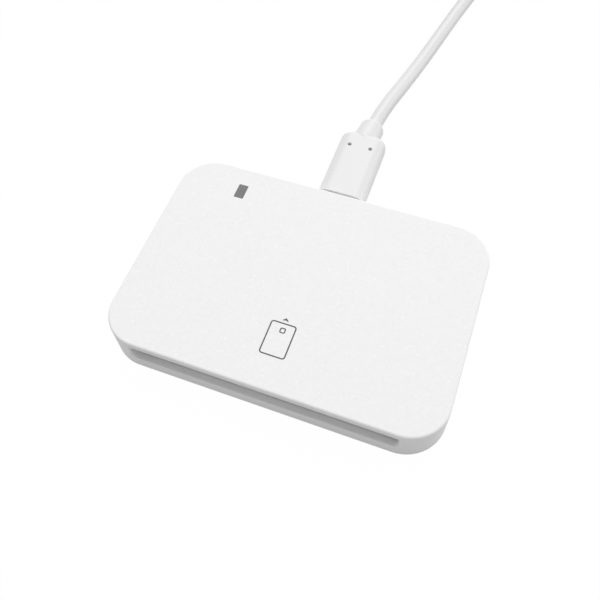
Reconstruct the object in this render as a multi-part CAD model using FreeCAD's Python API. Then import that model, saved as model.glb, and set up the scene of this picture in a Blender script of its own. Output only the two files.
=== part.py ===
"""Slim smart card reader with a plug-in cable. Millimetres.

X runs across the reader, Y from the card slot to the port in the rear wall, Z up.
The origin lies under the middle of the case, on the surface that the feet stand on.
"""
import FreeCAD
import Part
import math
import os

Vector = FreeCAD.Vector
TINY = 1e-6
OVERSHOOT = 1.0             # cutters past the face that they cut

# Card, with the places of its contacts
card_width = 53.98
card_thickness = 0.76
card_play = 0.31            # beside each edge of the card, up to the rail
insert_depth = 37.85        # front face to card stop
contact_lead = 11.25        # leading edge to the first row of contacts
contact_rows_apart = 7.62
contact_pitch = 2.54
contact_shift = 3.1         # middle of the contacts, right of the card's middle
contacts_per_row = 4

# Case
side_margin = 7.79          # card edge to the side of the case
case_height = 8.8           # lower rim to top face
corner_radius = 8.0         # plan corners at the top edge
wall_lean = 0.5             # how far each wall leans out from the top edge to the rim
wall = 1.5
top_plate = 1.4
top_edge_round = 0.5
cover_gap = 0.15            # bottom cover to the walls around it
base_plate = 1.6

# Card slot and guides
slot_play = 0.36            # beside each edge of the card, in the front wall
slot_drop = 1.0             # mouth floor below the card deck
slot_corner = 0.5
slot_flare = 0.5            # each end of the slot, spread towards the face
lip_bevel = 0.12            # edge between the floor of the slot and the face
shelf_depth = 10.0
ramp_length = 3.5
rib_count = 5
rib_width = 1.2
rail_width = 1.5
rail_above_card = 0.4
rail_setback = 2.5          # wall's inner face to the front of the rails
rail_lead = 1.0             # slope that leads the card in between the rails
stop_wall = 1.4
stop_above_deck = 1.2
stop_side_gap = 5.0         # card stop's ends to the rails

# Snap hooks and seats between the covers
hook_width = 5.0
hook_thickness = 1.0
hook_board_gap = 0.2
hook_setback = 0.25
barb_engage = 0.45
barb_height = 1.0
barb_drop = 1.6             # hook's top to the barb's shoulder
barb_clearance = 0.12
side_hook_offset = 8.5      # from the middle, along each side wall
rear_hook_offset = 17.0     # from the middle, along the rear wall
seat_rib_width = 1.2
seat_rib_depth = 1.0
seat_rib_offset = 14.5

# Feet
foot_diameter = 8.0
foot_height = 0.8           # stands proud of the rim
foot_recess = 0.4
foot_inset = 7.5            # from the base plate's edges
foot_edge_bevel = 0.25
foot_fit = 0.02

# Indicator window
window_width = 2.15
window_length = 3.63
window_from_side = 14.15
window_from_rear = 6.35
window_fit = 0.05
window_flange = 0.8
window_flange_thickness = 0.5

# Circuit board
board_thickness = 0.8
board_margin = 2.0          # inside the card's edges
board_wall_gap = 0.5
board_front_margin = 1.2
board_corner = 1.0
boss_height = 0.62
boss_diameter = 4.2
boss_inset = 2.6
boss_rear_inset = 10.5
screw_shank = 1.6
screw_bite = 1.2            # depth in the boss and the plate over it
screw_fit = 0.02
screw_hole_fit = 0.15
screw_head_diameter = 3.0
screw_head_height = 0.8
screw_recess_width = 0.45
screw_recess_depth = 0.4

# Card contacts
carrier_thickness = 0.9
carrier_card_gap = 0.32     # card's face to the carrier
carrier_side = 1.9          # outermost spring to the carrier's side
spring_width = 0.9
spring_thickness = 0.15
spring_preload = 0.25       # how far a card's face pushes the tip
spring_tail = 0.9           # past the carrier, on the board
spring_arm = 1.9            # tip to the bend at the carrier
spring_toe = 0.75           # tip to the free end
toe_rise = 0.35
window_to_edge = 1.4        # carrier wall under the spring's root
window_play = 0.6           # past the toe, in the carrier's window
carrier_end_wall = 0.4
spring_clearance = 0.2
peg_diameter = 1.2
peg_inset = 1.1
peg_fit = 0.03

# Card switch
switch_from_stop = 2.0
switch_from_middle = 12.0
switch_side = 1.4

# Port, a standard reversible data socket
port_inner_width = 8.34
port_inner_height = 2.56
port_sheet = 0.3
port_length = 7.35
port_stop_gap = 1.25        # card stop to the port's rear end
port_opening_gap = 0.28
tongue_width = 6.69
tongue_thickness = 0.7
tongue_recess = 0.9         # tongue's tip inside the mouth
port_root = 1.1             # depth of the body that carries the tongue
port_fit = 0.02
leg_width = 1.0
leg_proud = 0.3
leg_slot_gap = 0.1
leg_inset = 1.4

# Parts on the board
chip_side = 5.0
chip_thickness = 0.85
chip_from_edge = 11.99      # middle of the chip to the board's left edge
chip_y = 1.0
crystal_size = (3.2, 2.5, 0.7)
crystal_from_edge = 6.0     # middle of the can to the board's left edge
crystal_y = 1.5
regulator_size = (2.9, 1.6, 1.0)
regulator_x = 11.5
regulator_from_rear = 3.285 # middle of the body to the board's rear edge
capacitor_size = (1.6, 0.8, 0.8)
capacitor_count = 6
capacitor_pitch = 2.2
capacitor_start = (13.5, 9.6)
diode_size = (1.6, 0.8, 0.4)

# Plug on the reader's end of the cable
plug_width = 8.25
plug_height = 2.4
plug_sheet = 0.25
plug_reach = 6.65           # in front of its overmould
plug_gap = 1.0              # rear wall to overmould
plug_embed = 2.0
plug_fit = 0.02
plug_slot_depth = 5.4
tongue_clearance = 0.12
overmould_width = 10.9
overmould_height = 6.3
overmould_length = 19.15
overmould_corner = 2.6
overmould_end_round = 2.0
overmould_face_bevel = 0.05
dot_diameter = 0.95
dot_depth = 1.4
dot_spacing = 5.0
dot_from_end = 4.9
collar_base = 6.3
collar_tip = 5.9
collar_length = 5.1
collar_round = 1.5
collar_tilt = 6.0           # degrees, pulled aside by the cord

# Cable
cord_diameter = 3.6
coil_middle_radius = 19.4
coil_centre = (-6.0, 138.0)
cord_exit_run = 6.0         # straight out of the collar
host_exit_run = 8.5         # straight into the host plug
coil_lower_turns = 4
bundle_facets = 3           # flats round each corner of the bundle
tie_thickness = 0.6
tie_fit = 0.05
tie_angle = 12.0
tie_place = 255.0           # degrees round the coil
arc_share = 0.45            # of the shorter run beside each bend

# Host plug on the cable's far end
host_width = 12.0
host_height = 4.5
host_sheet = 0.3
host_reach = 12.0
host_tongue_width = 11.1
host_tongue_thickness = 1.84
host_window = 2.2
host_window_from_tip = 5.2
host_window_spacing = 5.0
host_mould_width = 15.4
host_mould_height = 7.8
host_mould_length = 22.0
host_mould_corner = 2.8
host_mould_round = 2.0
host_collar_base = 6.4
host_collar_tip = 5.4
host_collar_length = 8.0
host_coil_gap = 0.5
host_from_coil = 0.5        # strain relief's end, left of the coil's middle

# Heights that follow
rim = foot_height
case_top = rim + case_height
ceiling = case_top - top_plate
base_top = rim + base_plate
board_high = ceiling - boss_height
board_low = board_high - board_thickness
port_width = port_inner_width + 2 * port_sheet
port_height = port_inner_height + 2 * port_sheet
port_z = board_low - port_height / 2
carrier_low = board_low - carrier_thickness
card_top = carrier_low - carrier_card_gap
deck = card_top - card_thickness
slot_low = deck - slot_drop
shelf_low = (base_top + slot_low) / 2
rail_top = card_top + rail_above_card
hook_top = board_low - hook_board_gap
barb_low = hook_top - barb_drop

# Plan sizes that follow
case_width = card_width + 2 * side_margin
case_depth = insert_depth + stop_wall + port_stop_gap + port_length
slot_width = card_width + 2 * slot_play
rail_inside = card_width / 2 + card_play
rail_outside = rail_inside + rail_width
stop_y = insert_depth - case_depth / 2
window_x = window_from_side - case_width / 2
window_y = case_depth / 2 - window_from_rear
row_ys = (stop_y - contact_lead, stop_y - contact_lead - contact_rows_apart)
spring_root = spring_arm + spring_clearance
carrier_reach = spring_root + window_to_edge
carrier_front = row_ys[1] - carrier_reach
carrier_rear = row_ys[0] + carrier_reach


def lean(z):
    """How far a wall stands outside the top edge's outline at height z."""
    return wall_lean * (case_top - z) / case_height


def outer_x(z):
    return case_width / 2 + lean(z)


def outer_y(z):
    return case_depth / 2 + lean(z)


def inner_x(z):
    return outer_x(z) - wall


def inner_y(z):
    return outer_y(z) - wall


plate_x = inner_x(base_top) - cover_gap
plate_y = inner_y(base_top) - cover_gap
mouth_y = outer_y(port_z)
board_x = card_width / 2 - board_margin
board_rear = inner_y(board_low) - board_wall_gap
board_front = carrier_front - spring_tail - board_front_margin
boss_places = [
    (side * (board_x - boss_inset), y)
    for side in (-1, 1)
    for y in (board_front + boss_inset, board_rear - boss_rear_inset)
]
chip_place = (chip_from_edge - board_x, chip_y)
crystal_place = (crystal_from_edge - board_x, crystal_y)
regulator_place = (regulator_x, board_rear - regulator_from_rear)
foot_places = [
    (side_x * (plate_x - foot_inset), side_y * (plate_y - foot_inset))
    for side_y in (-1, 1)
    for side_x in (-1, 1)
]
plug_face = mouth_y + plug_gap
plug_tip = plug_face - plug_reach
plug_end = plug_face + overmould_length
cord_way = Vector(math.sin(math.radians(collar_tilt)), math.cos(math.radians(collar_tilt)), 0)
cord_start = Vector(0, plug_end, port_z) + cord_way * collar_length
bundle_step = cord_diameter * math.sin(math.radians(60))
coil_low = tie_thickness + tie_fit + cord_diameter / 2
host_y = (
    coil_centre[1] + coil_middle_radius + coil_lower_turns * cord_diameter / 2
    + host_coil_gap + host_mould_width / 2
)
host_z = host_mould_height / 2
host_start = coil_centre[0] - host_from_coil

# The cord from the collar to the coil, and from the coil to the host plug
cord_route = [
    cord_start,
    cord_start + cord_way * cord_exit_run,
    Vector(3.1, 66.3, 3.6),
    Vector(5.25, 78.5, 2.1),
    Vector(7.5, 91.0, 1.82),
    Vector(10.05, 104.1, 1.8),
    Vector(13.4, 116.9, 2.2),
]
tail_route = [
    Vector(20.2, 133.4, 6.95),
    Vector(21.1, 143.0, 6.8),
    Vector(20.3, 153.5, 5.9),
    Vector(16.8, 162.8, 5.0),
    Vector(10.5, 169.6, 4.2),
    Vector(host_start + host_exit_run, host_y, host_z),
    Vector(host_start, host_y, host_z),
]


def plan(z):
    """Places outline values on a level plane."""
    return lambda u, v: Vector(u, v, z)


def upright(y, z):
    """Places outline values on a plane across the reader, about height z."""
    return lambda u, v: Vector(u, y, z + v)


def rounded_outline(width, height, radius, place):
    """Closed wire of a rectangle with round corners, about the middle of its plane."""
    arcs = []
    for quarter, (side_u, side_v) in enumerate(((1, 1), (-1, 1), (-1, -1), (1, -1))):
        u = side_u * (width / 2 - radius)
        v = side_v * (height / 2 - radius)
        turns = [math.radians(90 * quarter + part) for part in (0, 45, 90)]
        arcs.append([place(u + radius * math.cos(t), v + radius * math.sin(t)) for t in turns])
    edges = []
    for arc, following in zip(arcs, arcs[1:] + arcs[:1]):
        edges.append(Part.Arc(*arc).toShape())
        if arc[2].distanceToPoint(following[0]) > TINY:
            edges.append(Part.LineSegment(arc[2], following[0]).toShape())
    return Part.Wire(edges)


def prism(outline, along):
    return Part.Face(outline).extrude(along)


def block(low, high):
    """Box between two corners."""
    size = Vector(*high) - Vector(*low)
    return Part.makeBox(size.x, size.y, size.z, Vector(*low))


def disc(diameter, low, height, x, y):
    return Part.makeCylinder(diameter / 2, height, Vector(x, y, low))


def round_bar(width, height, radius, y_from, y_to, z):
    """Bar along Y with a rounded section."""
    return prism(rounded_outline(width, height, radius, upright(y_from, z)), Vector(0, y_to - y_from, 0))


def slot_bar(width, height, y_from, y_to, z):
    """Bar along Y whose section has fully round ends."""
    return round_bar(width, height, height / 2, y_from, y_to, z)


def tapered_block(inset, low, high):
    """Block with round plan corners, inset from the case's walls and leaning as they do."""
    outlines = []
    for z in (low, high):
        width = 2 * (outer_x(z) - inset)
        depth = 2 * (outer_y(z) - inset)
        outlines.append(rounded_outline(width, depth, corner_radius + lean(z) - inset, plan(z)))
    return Part.makeLoft(outlines, True, True)


def edges_on(shape, axis, value):
    """Edges that lie whole in the plane where a coordinate has a value."""
    found = []
    for edge in shape.Edges:
        box = edge.BoundBox
        low, high = {"y": (box.YMin, box.YMax), "z": (box.ZMin, box.ZMax)}[axis]
        if abs(low - value) < 1e-4 and abs(high - value) < 1e-4:
            found.append(edge)
    return found


def on_side(shape, turn):
    """A shape made for the right-hand wall, turned about the Z axis to another wall."""
    turned = shape.copy()
    turned.rotate(Vector(), Vector(0, 0, 1), turn)
    return turned


def profile_bar(points, along):
    """Bar with a section of straight sides through the points."""
    return prism(Part.makePolygon(points + points[:1]), along)


def hook_sides():
    """Each hook's wall: turn about Z, place along the wall, plate edge, wall's inner face."""
    side_places = (-side_hook_offset, side_hook_offset)
    rear_places = (-rear_hook_offset, rear_hook_offset)
    sides = [(turn, place, plate_x, inner_x(barb_low)) for turn in (0, 180) for place in side_places]
    return sides + [(90, place, plate_y, inner_y(barb_low)) for place in rear_places]


def slot_cutter():
    """Card slot through the front wall, its ends flared and its floor bevelled towards the face."""
    inside = -inner_y(ceiling) + cover_gap
    face = -outer_y(slot_low)
    outside = -outer_y(rim) - OVERSHOOT

    def outline(depth):
        width = slot_width + 2 * (slot_flare - depth)
        drop = max(lip_bevel - depth, 0)
        height = 2 * (ceiling - slot_low + drop)
        return rounded_outline(width, height, slot_corner + drop, upright(face + depth, ceiling))

    throat = outline(slot_flare)
    mouth = prism(throat, Vector(0, inside - face - slot_flare, 0))
    flare = Part.makeLoft([outline(outside - face), outline(lip_bevel), throat], True, True)
    under_ceiling = block((-outer_x(rim), outside, rim), (outer_x(rim), inside, ceiling))
    return mouth.fuse(flare).common(under_ceiling)


def window_cutter(gap):
    """Hole for the indicator window, or with no gap the window's own stem."""
    stem = prism(
        rounded_outline(window_width - 2 * gap, window_length - 2 * gap, window_fit * 4, plan(ceiling)),
        Vector(0, 0, top_plate),
    )
    flange = prism(
        rounded_outline(
            window_width + 2 * (window_flange - gap),
            window_length + 2 * (window_flange - gap),
            window_flange / 2,
            plan(ceiling),
        ),
        Vector(0, 0, window_flange_thickness),
    )
    stem = stem.fuse(flange)
    stem.translate(Vector(window_x, window_y, 0))
    return stem


def top_cover():
    shell = tapered_block(0, rim, case_top)
    shell = shell.makeFillet(top_edge_round, edges_on(shell, "z", case_top))
    shell = shell.cut(tapered_block(wall, rim, ceiling))
    added = [disc(boss_diameter, board_high, boss_height, x, y) for x, y in boss_places]
    for turn in (0, 180):
        for place in (-seat_rib_offset, seat_rib_offset):
            rib = block(
                (inner_x(ceiling) - seat_rib_depth, place - seat_rib_width / 2, base_top),
                (inner_x(base_top) + wall / 2, place + seat_rib_width / 2, ceiling),
            )
            added.append(on_side(rib, turn))
    shell = shell.fuse(added)
    cuts = [slot_cutter(), window_cutter(0)]
    cuts.append(
        slot_bar(
            port_width + 2 * port_opening_gap,
            port_height + 2 * port_opening_gap,
            inner_y(port_z) - wall,
            outer_y(rim) + OVERSHOOT,
            port_z,
        )
    )
    for x, y in boss_places:
        cuts.append(disc(screw_shank + 2 * screw_fit, board_high, screw_bite + screw_fit, x, y))
    for turn, place, edge, face in hook_sides():
        low = barb_low - barb_clearance
        pocket = block(
            (edge - hook_setback, place - hook_width / 2 - barb_clearance, low),
            (
                face + barb_engage + barb_clearance,
                place + hook_width / 2 + barb_clearance,
                low + barb_height + 2 * barb_clearance,
            ),
        )
        cuts.append(on_side(pocket, turn))
    return shell.cut(cuts).removeSplitter()


def card_rail(side, low):
    """Rail beside the card, its front sloped to lead the card in."""
    front = -inner_y(rim) + rail_setback
    rear = stop_y + stop_wall
    points = [
        (rail_inside, rear),
        (rail_inside, front + rail_lead),
        (rail_inside + rail_lead / 2, front),
        (rail_outside, front),
        (rail_outside, rear),
    ]
    return profile_bar([Vector(side * x, y, low) for x, y in points], Vector(0, 0, rail_top - low))


def card_rib(x):
    """Upright rib that carries the card, with a ramp from the mouth up to the deck."""
    front = -outer_y(rim)
    ramp_end = -case_depth / 2 + wall + shelf_depth + ramp_length
    points = [
        (front, rim + base_plate / 2),
        (front, slot_low),
        (ramp_end - ramp_length, slot_low),
        (ramp_end, deck),
        (stop_y + stop_wall / 2, deck),
        (stop_y + stop_wall / 2, rim + base_plate / 2),
    ]
    left = x - rib_width / 2
    return profile_bar([Vector(left, y, z) for y, z in points], Vector(rib_width, 0, 0))


def snap_hook(place, edge, face):
    """Upright spring hook at the right-hand edge of the base plate."""
    outside = edge - hook_setback
    points = [
        (outside - hook_thickness, rim + base_plate / 2),
        (outside, rim + base_plate / 2),
        (outside, barb_low),
        (face + barb_engage, barb_low),
        (face + barb_engage, barb_low + barb_height / 3),
        (outside, barb_low + barb_height),
        (outside - hook_thickness / 3, hook_top),
        (outside - hook_thickness, hook_top),
    ]
    side = place - hook_width / 2
    return profile_bar([Vector(x, side, z) for x, z in points], Vector(0, hook_width, 0))


def bottom_cover():
    plate = tapered_block(wall + cover_gap, rim, base_top)
    front = -outer_y(rim)
    shelf_end = -case_depth / 2 + wall + shelf_depth
    inside = rim + base_plate / 2
    guides = [
        block((-rail_outside, front, shelf_low), (rail_outside, shelf_end, slot_low)),
        block(
            (stop_side_gap - rail_inside, stop_y, inside),
            (rail_inside - stop_side_gap, stop_y + stop_wall, deck + stop_above_deck),
        ),
    ]
    for side in (-1, 1):
        guides.append(card_rail(side, inside))
    rib_pitch = card_width / (rib_count + 1)
    for number in range(rib_count):
        guides.append(card_rib((number + 1) * rib_pitch - card_width / 2))
    room = tapered_block(wall + cover_gap, rim, ceiling)
    guides = guides[0].fuse(guides[1:]).common(room)
    hooks = [on_side(snap_hook(place, edge, face), turn) for turn, place, edge, face in hook_sides()]
    recesses = [disc(foot_diameter + 2 * foot_fit, rim, foot_recess, x, y) for x, y in foot_places]
    return plate.fuse([guides] + hooks).cut(recesses).removeSplitter()


def foot(x, y):
    pad = disc(foot_diameter, 0, foot_height + foot_recess, x, y)
    return pad.makeChamfer(foot_edge_bevel, edges_on(pad, "z", 0))


def led_window():
    return window_cutter(window_fit).removeSplitter()


def leg_places():
    """Where the port's legs pass through the board: side and middle along Y."""
    places = (mouth_y - port_length + leg_inset, board_rear - leg_inset)
    return [(side, y) for side in (-1, 1) for y in places]


def port_leg(side, y, gap, low, high):
    outside = side * (port_width / 2 + gap)
    inside = side * (port_width / 2 - port_sheet - gap)
    left, right = sorted((outside, inside))
    return block((left, y - leg_width / 2 - gap, low), (right, y + leg_width / 2 + gap, high))


def carrier_pegs():
    """Places of the contact carrier's two locating pegs, at opposite corners."""
    side = contact_pitch * (contacts_per_row - 1) / 2 + carrier_side - peg_inset
    middle = (carrier_front + carrier_rear) / 2
    return [(contact_shift - side, middle), (contact_shift + side, middle)]


def circuit_board():
    width = 2 * board_x
    depth = board_rear - board_front
    board = prism(rounded_outline(width, depth, board_corner, plan(board_low)), Vector(0, 0, board_thickness))
    board.translate(Vector(0, (board_rear + board_front) / 2, 0))
    holes = [disc(screw_shank + 2 * screw_hole_fit, board_low, board_thickness, x, y) for x, y in boss_places]
    holes += [disc(peg_diameter + 2 * peg_fit, board_low, board_thickness, x, y) for x, y in carrier_pegs()]
    holes += [port_leg(side, y, leg_slot_gap, board_low, board_high) for side, y in leg_places()]
    return board.cut(holes)


def board_screw(x, y):
    shank = disc(screw_shank, board_low, board_thickness + screw_bite, x, y)
    head = disc(screw_head_diameter, board_low - screw_head_height, screw_head_height, x, y)
    screw = shank.fuse(head).removeSplitter()
    reach = screw_head_diameter / 3
    half = screw_recess_width / 2
    low = board_low - screw_head_height
    across = block((x - reach, y - half, low), (x + reach, y + half, low + screw_recess_depth))
    along = block((x - half, y - reach, low), (x + half, y + reach, low + screw_recess_depth))
    return screw.cut(across.fuse(along))


def board_screws():
    return Part.makeCompound([board_screw(x, y) for x, y in boss_places])


def contact_seats():
    """Each contact's place across, its tip along Y, and the side that its tail leaves by."""
    first = contact_shift - contact_pitch * (contacts_per_row - 1) / 2
    seats = []
    for tip, side in ((row_ys[0], 1), (row_ys[1], -1)):
        for number in range(contacts_per_row):
            seats.append((first + number * contact_pitch, tip, side))
    return seats


def spring_carrier(low, high, seats):
    """Moulded carrier under the board, with a window and a root groove for each spring."""
    body = block((low[0], low[1], carrier_low), (high[0], high[1], board_low))
    half = spring_width / 2 + spring_clearance
    cuts = []
    for x, tip, side in seats:
        y_from, y_to = sorted((tip - side * (spring_toe + window_play), tip + side * spring_root))
        cuts.append(block((x - half, y_from, carrier_low), (x + half, y_to, board_low)))
        y_from, y_to = sorted((tip + side * spring_arm, tip + side * carrier_reach))
        cuts.append(block((x - half, y_from, board_low - spring_thickness), (x + half, y_to, board_low)))
    return body.cut(cuts)


def contact_spring(x, tip, side):
    """Bent strip: root flat on the board, arm sloping down to a round tip, toe turned up."""
    tip_z = card_top - spring_preload

    def strip_side(z):
        knee = tip_z + toe_rise
        return [
            Vector(x, tip + side * (carrier_reach + spring_tail), board_low - spring_thickness + z),
            Vector(x, tip + side * spring_arm, board_low - spring_thickness + z),
            Vector(x, tip + side * spring_toe, knee + z),
            Vector(x, tip, tip_z + z),
            Vector(x, tip - side * spring_toe, knee + z),
        ]

    under = strip_side(0)
    over = strip_side(spring_thickness)
    edges = [
        Part.LineSegment(under[0], under[1]).toShape(),
        Part.LineSegment(under[1], under[2]).toShape(),
        Part.Arc(*under[2:]).toShape(),
        Part.LineSegment(under[4], over[4]).toShape(),
        Part.Arc(over[4], over[3], over[2]).toShape(),
        Part.LineSegment(over[2], over[1]).toShape(),
        Part.LineSegment(over[1], over[0]).toShape(),
        Part.LineSegment(over[0], under[0]).toShape(),
    ]
    strip = prism(Part.Wire(edges), Vector(spring_width, 0, 0))
    strip.translate(Vector(-spring_width / 2, 0, 0))
    return strip


def card_contact_block():
    side = contact_pitch * (contacts_per_row - 1) / 2 + carrier_side
    body = spring_carrier(
        (contact_shift - side, carrier_front), (contact_shift + side, carrier_rear), contact_seats()
    )
    pegs = [disc(peg_diameter, board_low, board_thickness, x, y) for x, y in carrier_pegs()]
    return body.fuse(pegs)


def switch_seat():
    return (-switch_from_middle, stop_y - switch_from_stop, -1)


def card_switch_base():
    x, tip, side = switch_seat()
    front = tip - carrier_reach
    rear = tip + spring_toe + window_play + carrier_end_wall
    return spring_carrier((x - switch_side, front), (x + switch_side, rear), [switch_seat()])


def usb_receptacle_shell():
    rear = mouth_y - port_length
    shell = slot_bar(port_width, port_height, rear, mouth_y, port_z)
    shell = shell.cut(slot_bar(port_inner_width, port_inner_height, rear, mouth_y, port_z))
    legs = [port_leg(side, y, 0, port_z, board_high + leg_proud) for side, y in leg_places()]
    bore = slot_bar(port_inner_width, port_inner_height, rear, mouth_y, port_z)
    return shell.fuse(legs).cut(bore).removeSplitter()


def usb_receptacle_tongue():
    rear = mouth_y - port_length
    root = slot_bar(
        port_inner_width - 2 * port_fit, port_inner_height - 2 * port_fit, rear, rear + port_root, port_z
    )
    blade = round_bar(
        tongue_width, tongue_thickness, tongue_thickness / 4, rear, mouth_y - tongue_recess, port_z
    )
    return root.fuse(blade).removeSplitter()


def part_under_board(size, place):
    """Plain package soldered to the underside of the board."""
    x, y = place
    length, width, height = size
    return block(
        (x - length / 2, y - width / 2, board_low - height), (x + length / 2, y + width / 2, board_low)
    )


def controller_chip():
    body = part_under_board((chip_side, chip_side, chip_thickness), chip_place)
    low = board_low - chip_thickness
    corner = [e for e in body.Edges if abs(e.BoundBox.XMin - e.BoundBox.XMax) < TINY
              and abs(e.BoundBox.YMin - e.BoundBox.YMax) < TINY]
    body = body.makeChamfer(chip_side / 30, corner)
    x, y = chip_place
    mark = disc(chip_side / 8, low, chip_thickness / 8, x - chip_side / 3, y - chip_side / 3)
    return body.cut(mark)


def crystal_can():
    length, width, height = crystal_size
    can = prism(rounded_outline(length, width, width / 6, plan(board_low - height)), Vector(0, 0, height))
    can.translate(Vector(*crystal_place, 0))
    return can


def voltage_regulator():
    """Small three-legged package: body and its bent legs on the board."""
    length, width, height = regulator_size
    x, y = regulator_place
    lift = height / 8
    leg = length / 7
    body = block(
        (x - length / 2, y - width / 2, board_low - height), (x + length / 2, y + width / 2, board_low - lift)
    )
    legs = []
    for offset, side in ((-length / 3, 1), (length / 3, 1), (0, -1)):
        y_from, y_to = sorted((y, y + side * width))
        left = x + offset - leg / 2
        legs.append(block((left, y_from, board_low - lift), (left + leg, y_to, board_low)))
    return body.fuse(legs).removeSplitter()


def chip_capacitors():
    x, y = capacitor_start
    row = []
    for number in range(capacitor_count):
        row.append(part_under_board(capacitor_size, (x, y - number * capacitor_pitch)))
    return Part.makeCompound(row)


def indicator_led():
    """Diode on the upper side of the board, under the indicator window."""
    length, width, height = diode_size
    base = block(
        (window_x - width / 2, window_y - length / 2, board_high),
        (window_x + width / 2, window_y + length / 2, board_high + height / 2),
    )
    dome = block(
        (window_x - width / 2, window_y - length / 3, board_high + height / 2),
        (window_x + width / 2, window_y + length / 3, board_high + height),
    )
    return base.fuse(dome).removeSplitter()


def plug_shell():
    end = plug_face + plug_embed
    outer = slot_bar(plug_width, plug_height, plug_tip, end, port_z)
    inner = slot_bar(plug_width - 2 * plug_sheet, plug_height - 2 * plug_sheet, plug_tip, end, port_z)
    return outer.cut(inner)


def plug_insert():
    inset = 2 * (plug_sheet + plug_fit)
    body = slot_bar(plug_width - inset, plug_height - inset, plug_tip, plug_face + plug_embed, port_z)
    slot = round_bar(
        tongue_width + 2 * tongue_clearance,
        tongue_thickness + 2 * tongue_clearance,
        tongue_thickness / 4,
        plug_tip,
        plug_tip + plug_slot_depth,
        port_z,
    )
    return body.cut(slot)


def collar(base, tip, length, tip_round):
    """Strain relief turned about the Y axis, from the origin along +Y, with a rounded rim."""
    outline = [
        Vector(0, -tip_round, 0),
        Vector(base / 2, -tip_round, 0),
        Vector(base / 2, 0, 0),
        Vector(tip / 2, length - tip_round, 0),
        Vector(cord_diameter / 2, length, 0),
        Vector(0, length, 0),
    ]
    rim_width = tip / 2 - cord_diameter / 2
    bulge = math.sqrt(0.5)
    middle = Vector(cord_diameter / 2 + rim_width * bulge, length - tip_round * (1 - bulge), 0)
    edges = [Part.LineSegment(outline[k], outline[k + 1]).toShape() for k in range(3)]
    edges.append(Part.Arc(outline[3], middle, outline[4]).toShape())
    edges.append(Part.LineSegment(outline[4], outline[5]).toShape())
    edges.append(Part.LineSegment(outline[5], outline[0]).toShape())
    return Part.Face(Part.Wire(edges)).revolve(Vector(), Vector(0, 1, 0), 360)


def plug_overmould():
    body = round_bar(overmould_width, overmould_height, overmould_corner, plug_face, plug_end, port_z)
    body = body.makeFillet(overmould_end_round, edges_on(body, "y", plug_end))
    body = body.makeChamfer(overmould_face_bevel, edges_on(body, "y", plug_face))
    relief = collar(collar_base, collar_tip, collar_length, collar_round)
    relief.rotate(Vector(), Vector(0, 0, 1), -collar_tilt)
    relief.translate(Vector(0, plug_end, port_z))
    body = body.fuse(relief)
    seat = slot_bar(
        plug_width + 2 * plug_fit, plug_height + 2 * plug_fit, plug_face, plug_face + plug_embed, port_z
    )
    cuts = [seat]
    top = port_z + overmould_height / 2
    for side in (-1, 1):
        cuts.append(
            disc(dot_diameter, top - dot_depth, dot_depth, side * dot_spacing / 2, plug_end - dot_from_end)
        )
    return body.cut(cuts).removeSplitter()


def cord_path(points):
    """Straight runs joined by tangent arcs, each as large as its two runs allow, and the radii."""
    edges = []
    radii = []
    start = points[0]
    for before, corner, after in zip(points, points[1:], points[2:]):
        back = (before - corner).normalize()
        onward = (after - corner).normalize()
        half_turn = (math.pi - back.getAngle(onward)) / 2
        setback = arc_share * min(before.distanceToPoint(corner), corner.distanceToPoint(after))
        radius = setback / math.tan(half_turn)
        inward = (back + onward).normalize()
        middle = corner + inward * (radius / math.cos(half_turn) - radius)
        edges.append(Part.LineSegment(start, corner + back * setback).toShape())
        start = corner + onward * setback
        edges.append(Part.Arc(corner + back * setback, middle, start).toShape())
        radii.append(radius)
    edges.append(Part.LineSegment(start, points[-1]).toShape())
    return Part.Wire(edges), radii


def cord_tube(name, points):
    path, radii = cord_path(points)
    section = Part.Wire(Part.makeCircle(cord_diameter / 2, points[0], points[1] - points[0]))
    tube = path.makePipeShell([section], True, False)
    share = tube.Volume / (math.pi * cord_diameter ** 2 / 4 * path.Length)
    print(f"{name}: {path.Length:.1f} long, volume {share:.4f} of section times length")
    print(f"{name}: bend radii", [round(radius, 1) for radius in radii])
    return tube


def bundle_face(offset):
    """Section through the coil's bundle of turns, in two rows, grown by an offset."""
    half_low = (coil_lower_turns - 1) * cord_diameter / 2
    half_high = (coil_lower_turns - 2) * cord_diameter / 2
    coil_high = coil_low + bundle_step
    middle_x = coil_centre[0] + coil_middle_radius
    corners = [
        (half_low, coil_low, -90, 30),
        (half_high, coil_high, 30, 90),
        (-half_high, coil_high, 90, 150),
        (-half_low, coil_low, 150, 270),
    ]
    points = []
    for across, z, turn_from, turn_to in corners:
        step = math.radians(turn_to - turn_from) / bundle_facets
        reach = (cord_diameter / 2 + offset) / math.cos(step / 2)
        for number in range(bundle_facets):
            turn = math.radians(turn_from) + (number + 0.5) * step
            x = middle_x + across + reach * math.cos(turn)
            points.append(Vector(x, coil_centre[1], z + reach * math.sin(turn)))
    return Part.Face(Part.makePolygon(points + points[:1]))


def round_coil(face, from_angle, angle):
    """Turns a section about the coil's axis."""
    centre = Vector(*coil_centre, 0)
    start = face.copy()
    start.rotate(centre, Vector(0, 0, 1), from_angle)
    return start.revolve(centre, Vector(0, 0, 1), angle)


def cable_coil():
    return round_coil(bundle_face(0), 0, 360)


def coil_tie():
    band = bundle_face(tie_fit + tie_thickness).cut(bundle_face(tie_fit))
    return round_coil(band.Faces[0], tie_place - tie_angle / 2, tie_angle)


def to_host(shape):
    """From a plug lying along +Y at the origin to the host plug's place, its tip towards -X."""
    placed = shape.copy()
    placed.rotate(Vector(), Vector(0, 0, 1), -90)
    placed.translate(Vector(host_start - host_collar_length, host_y, host_z))
    return placed


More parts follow.
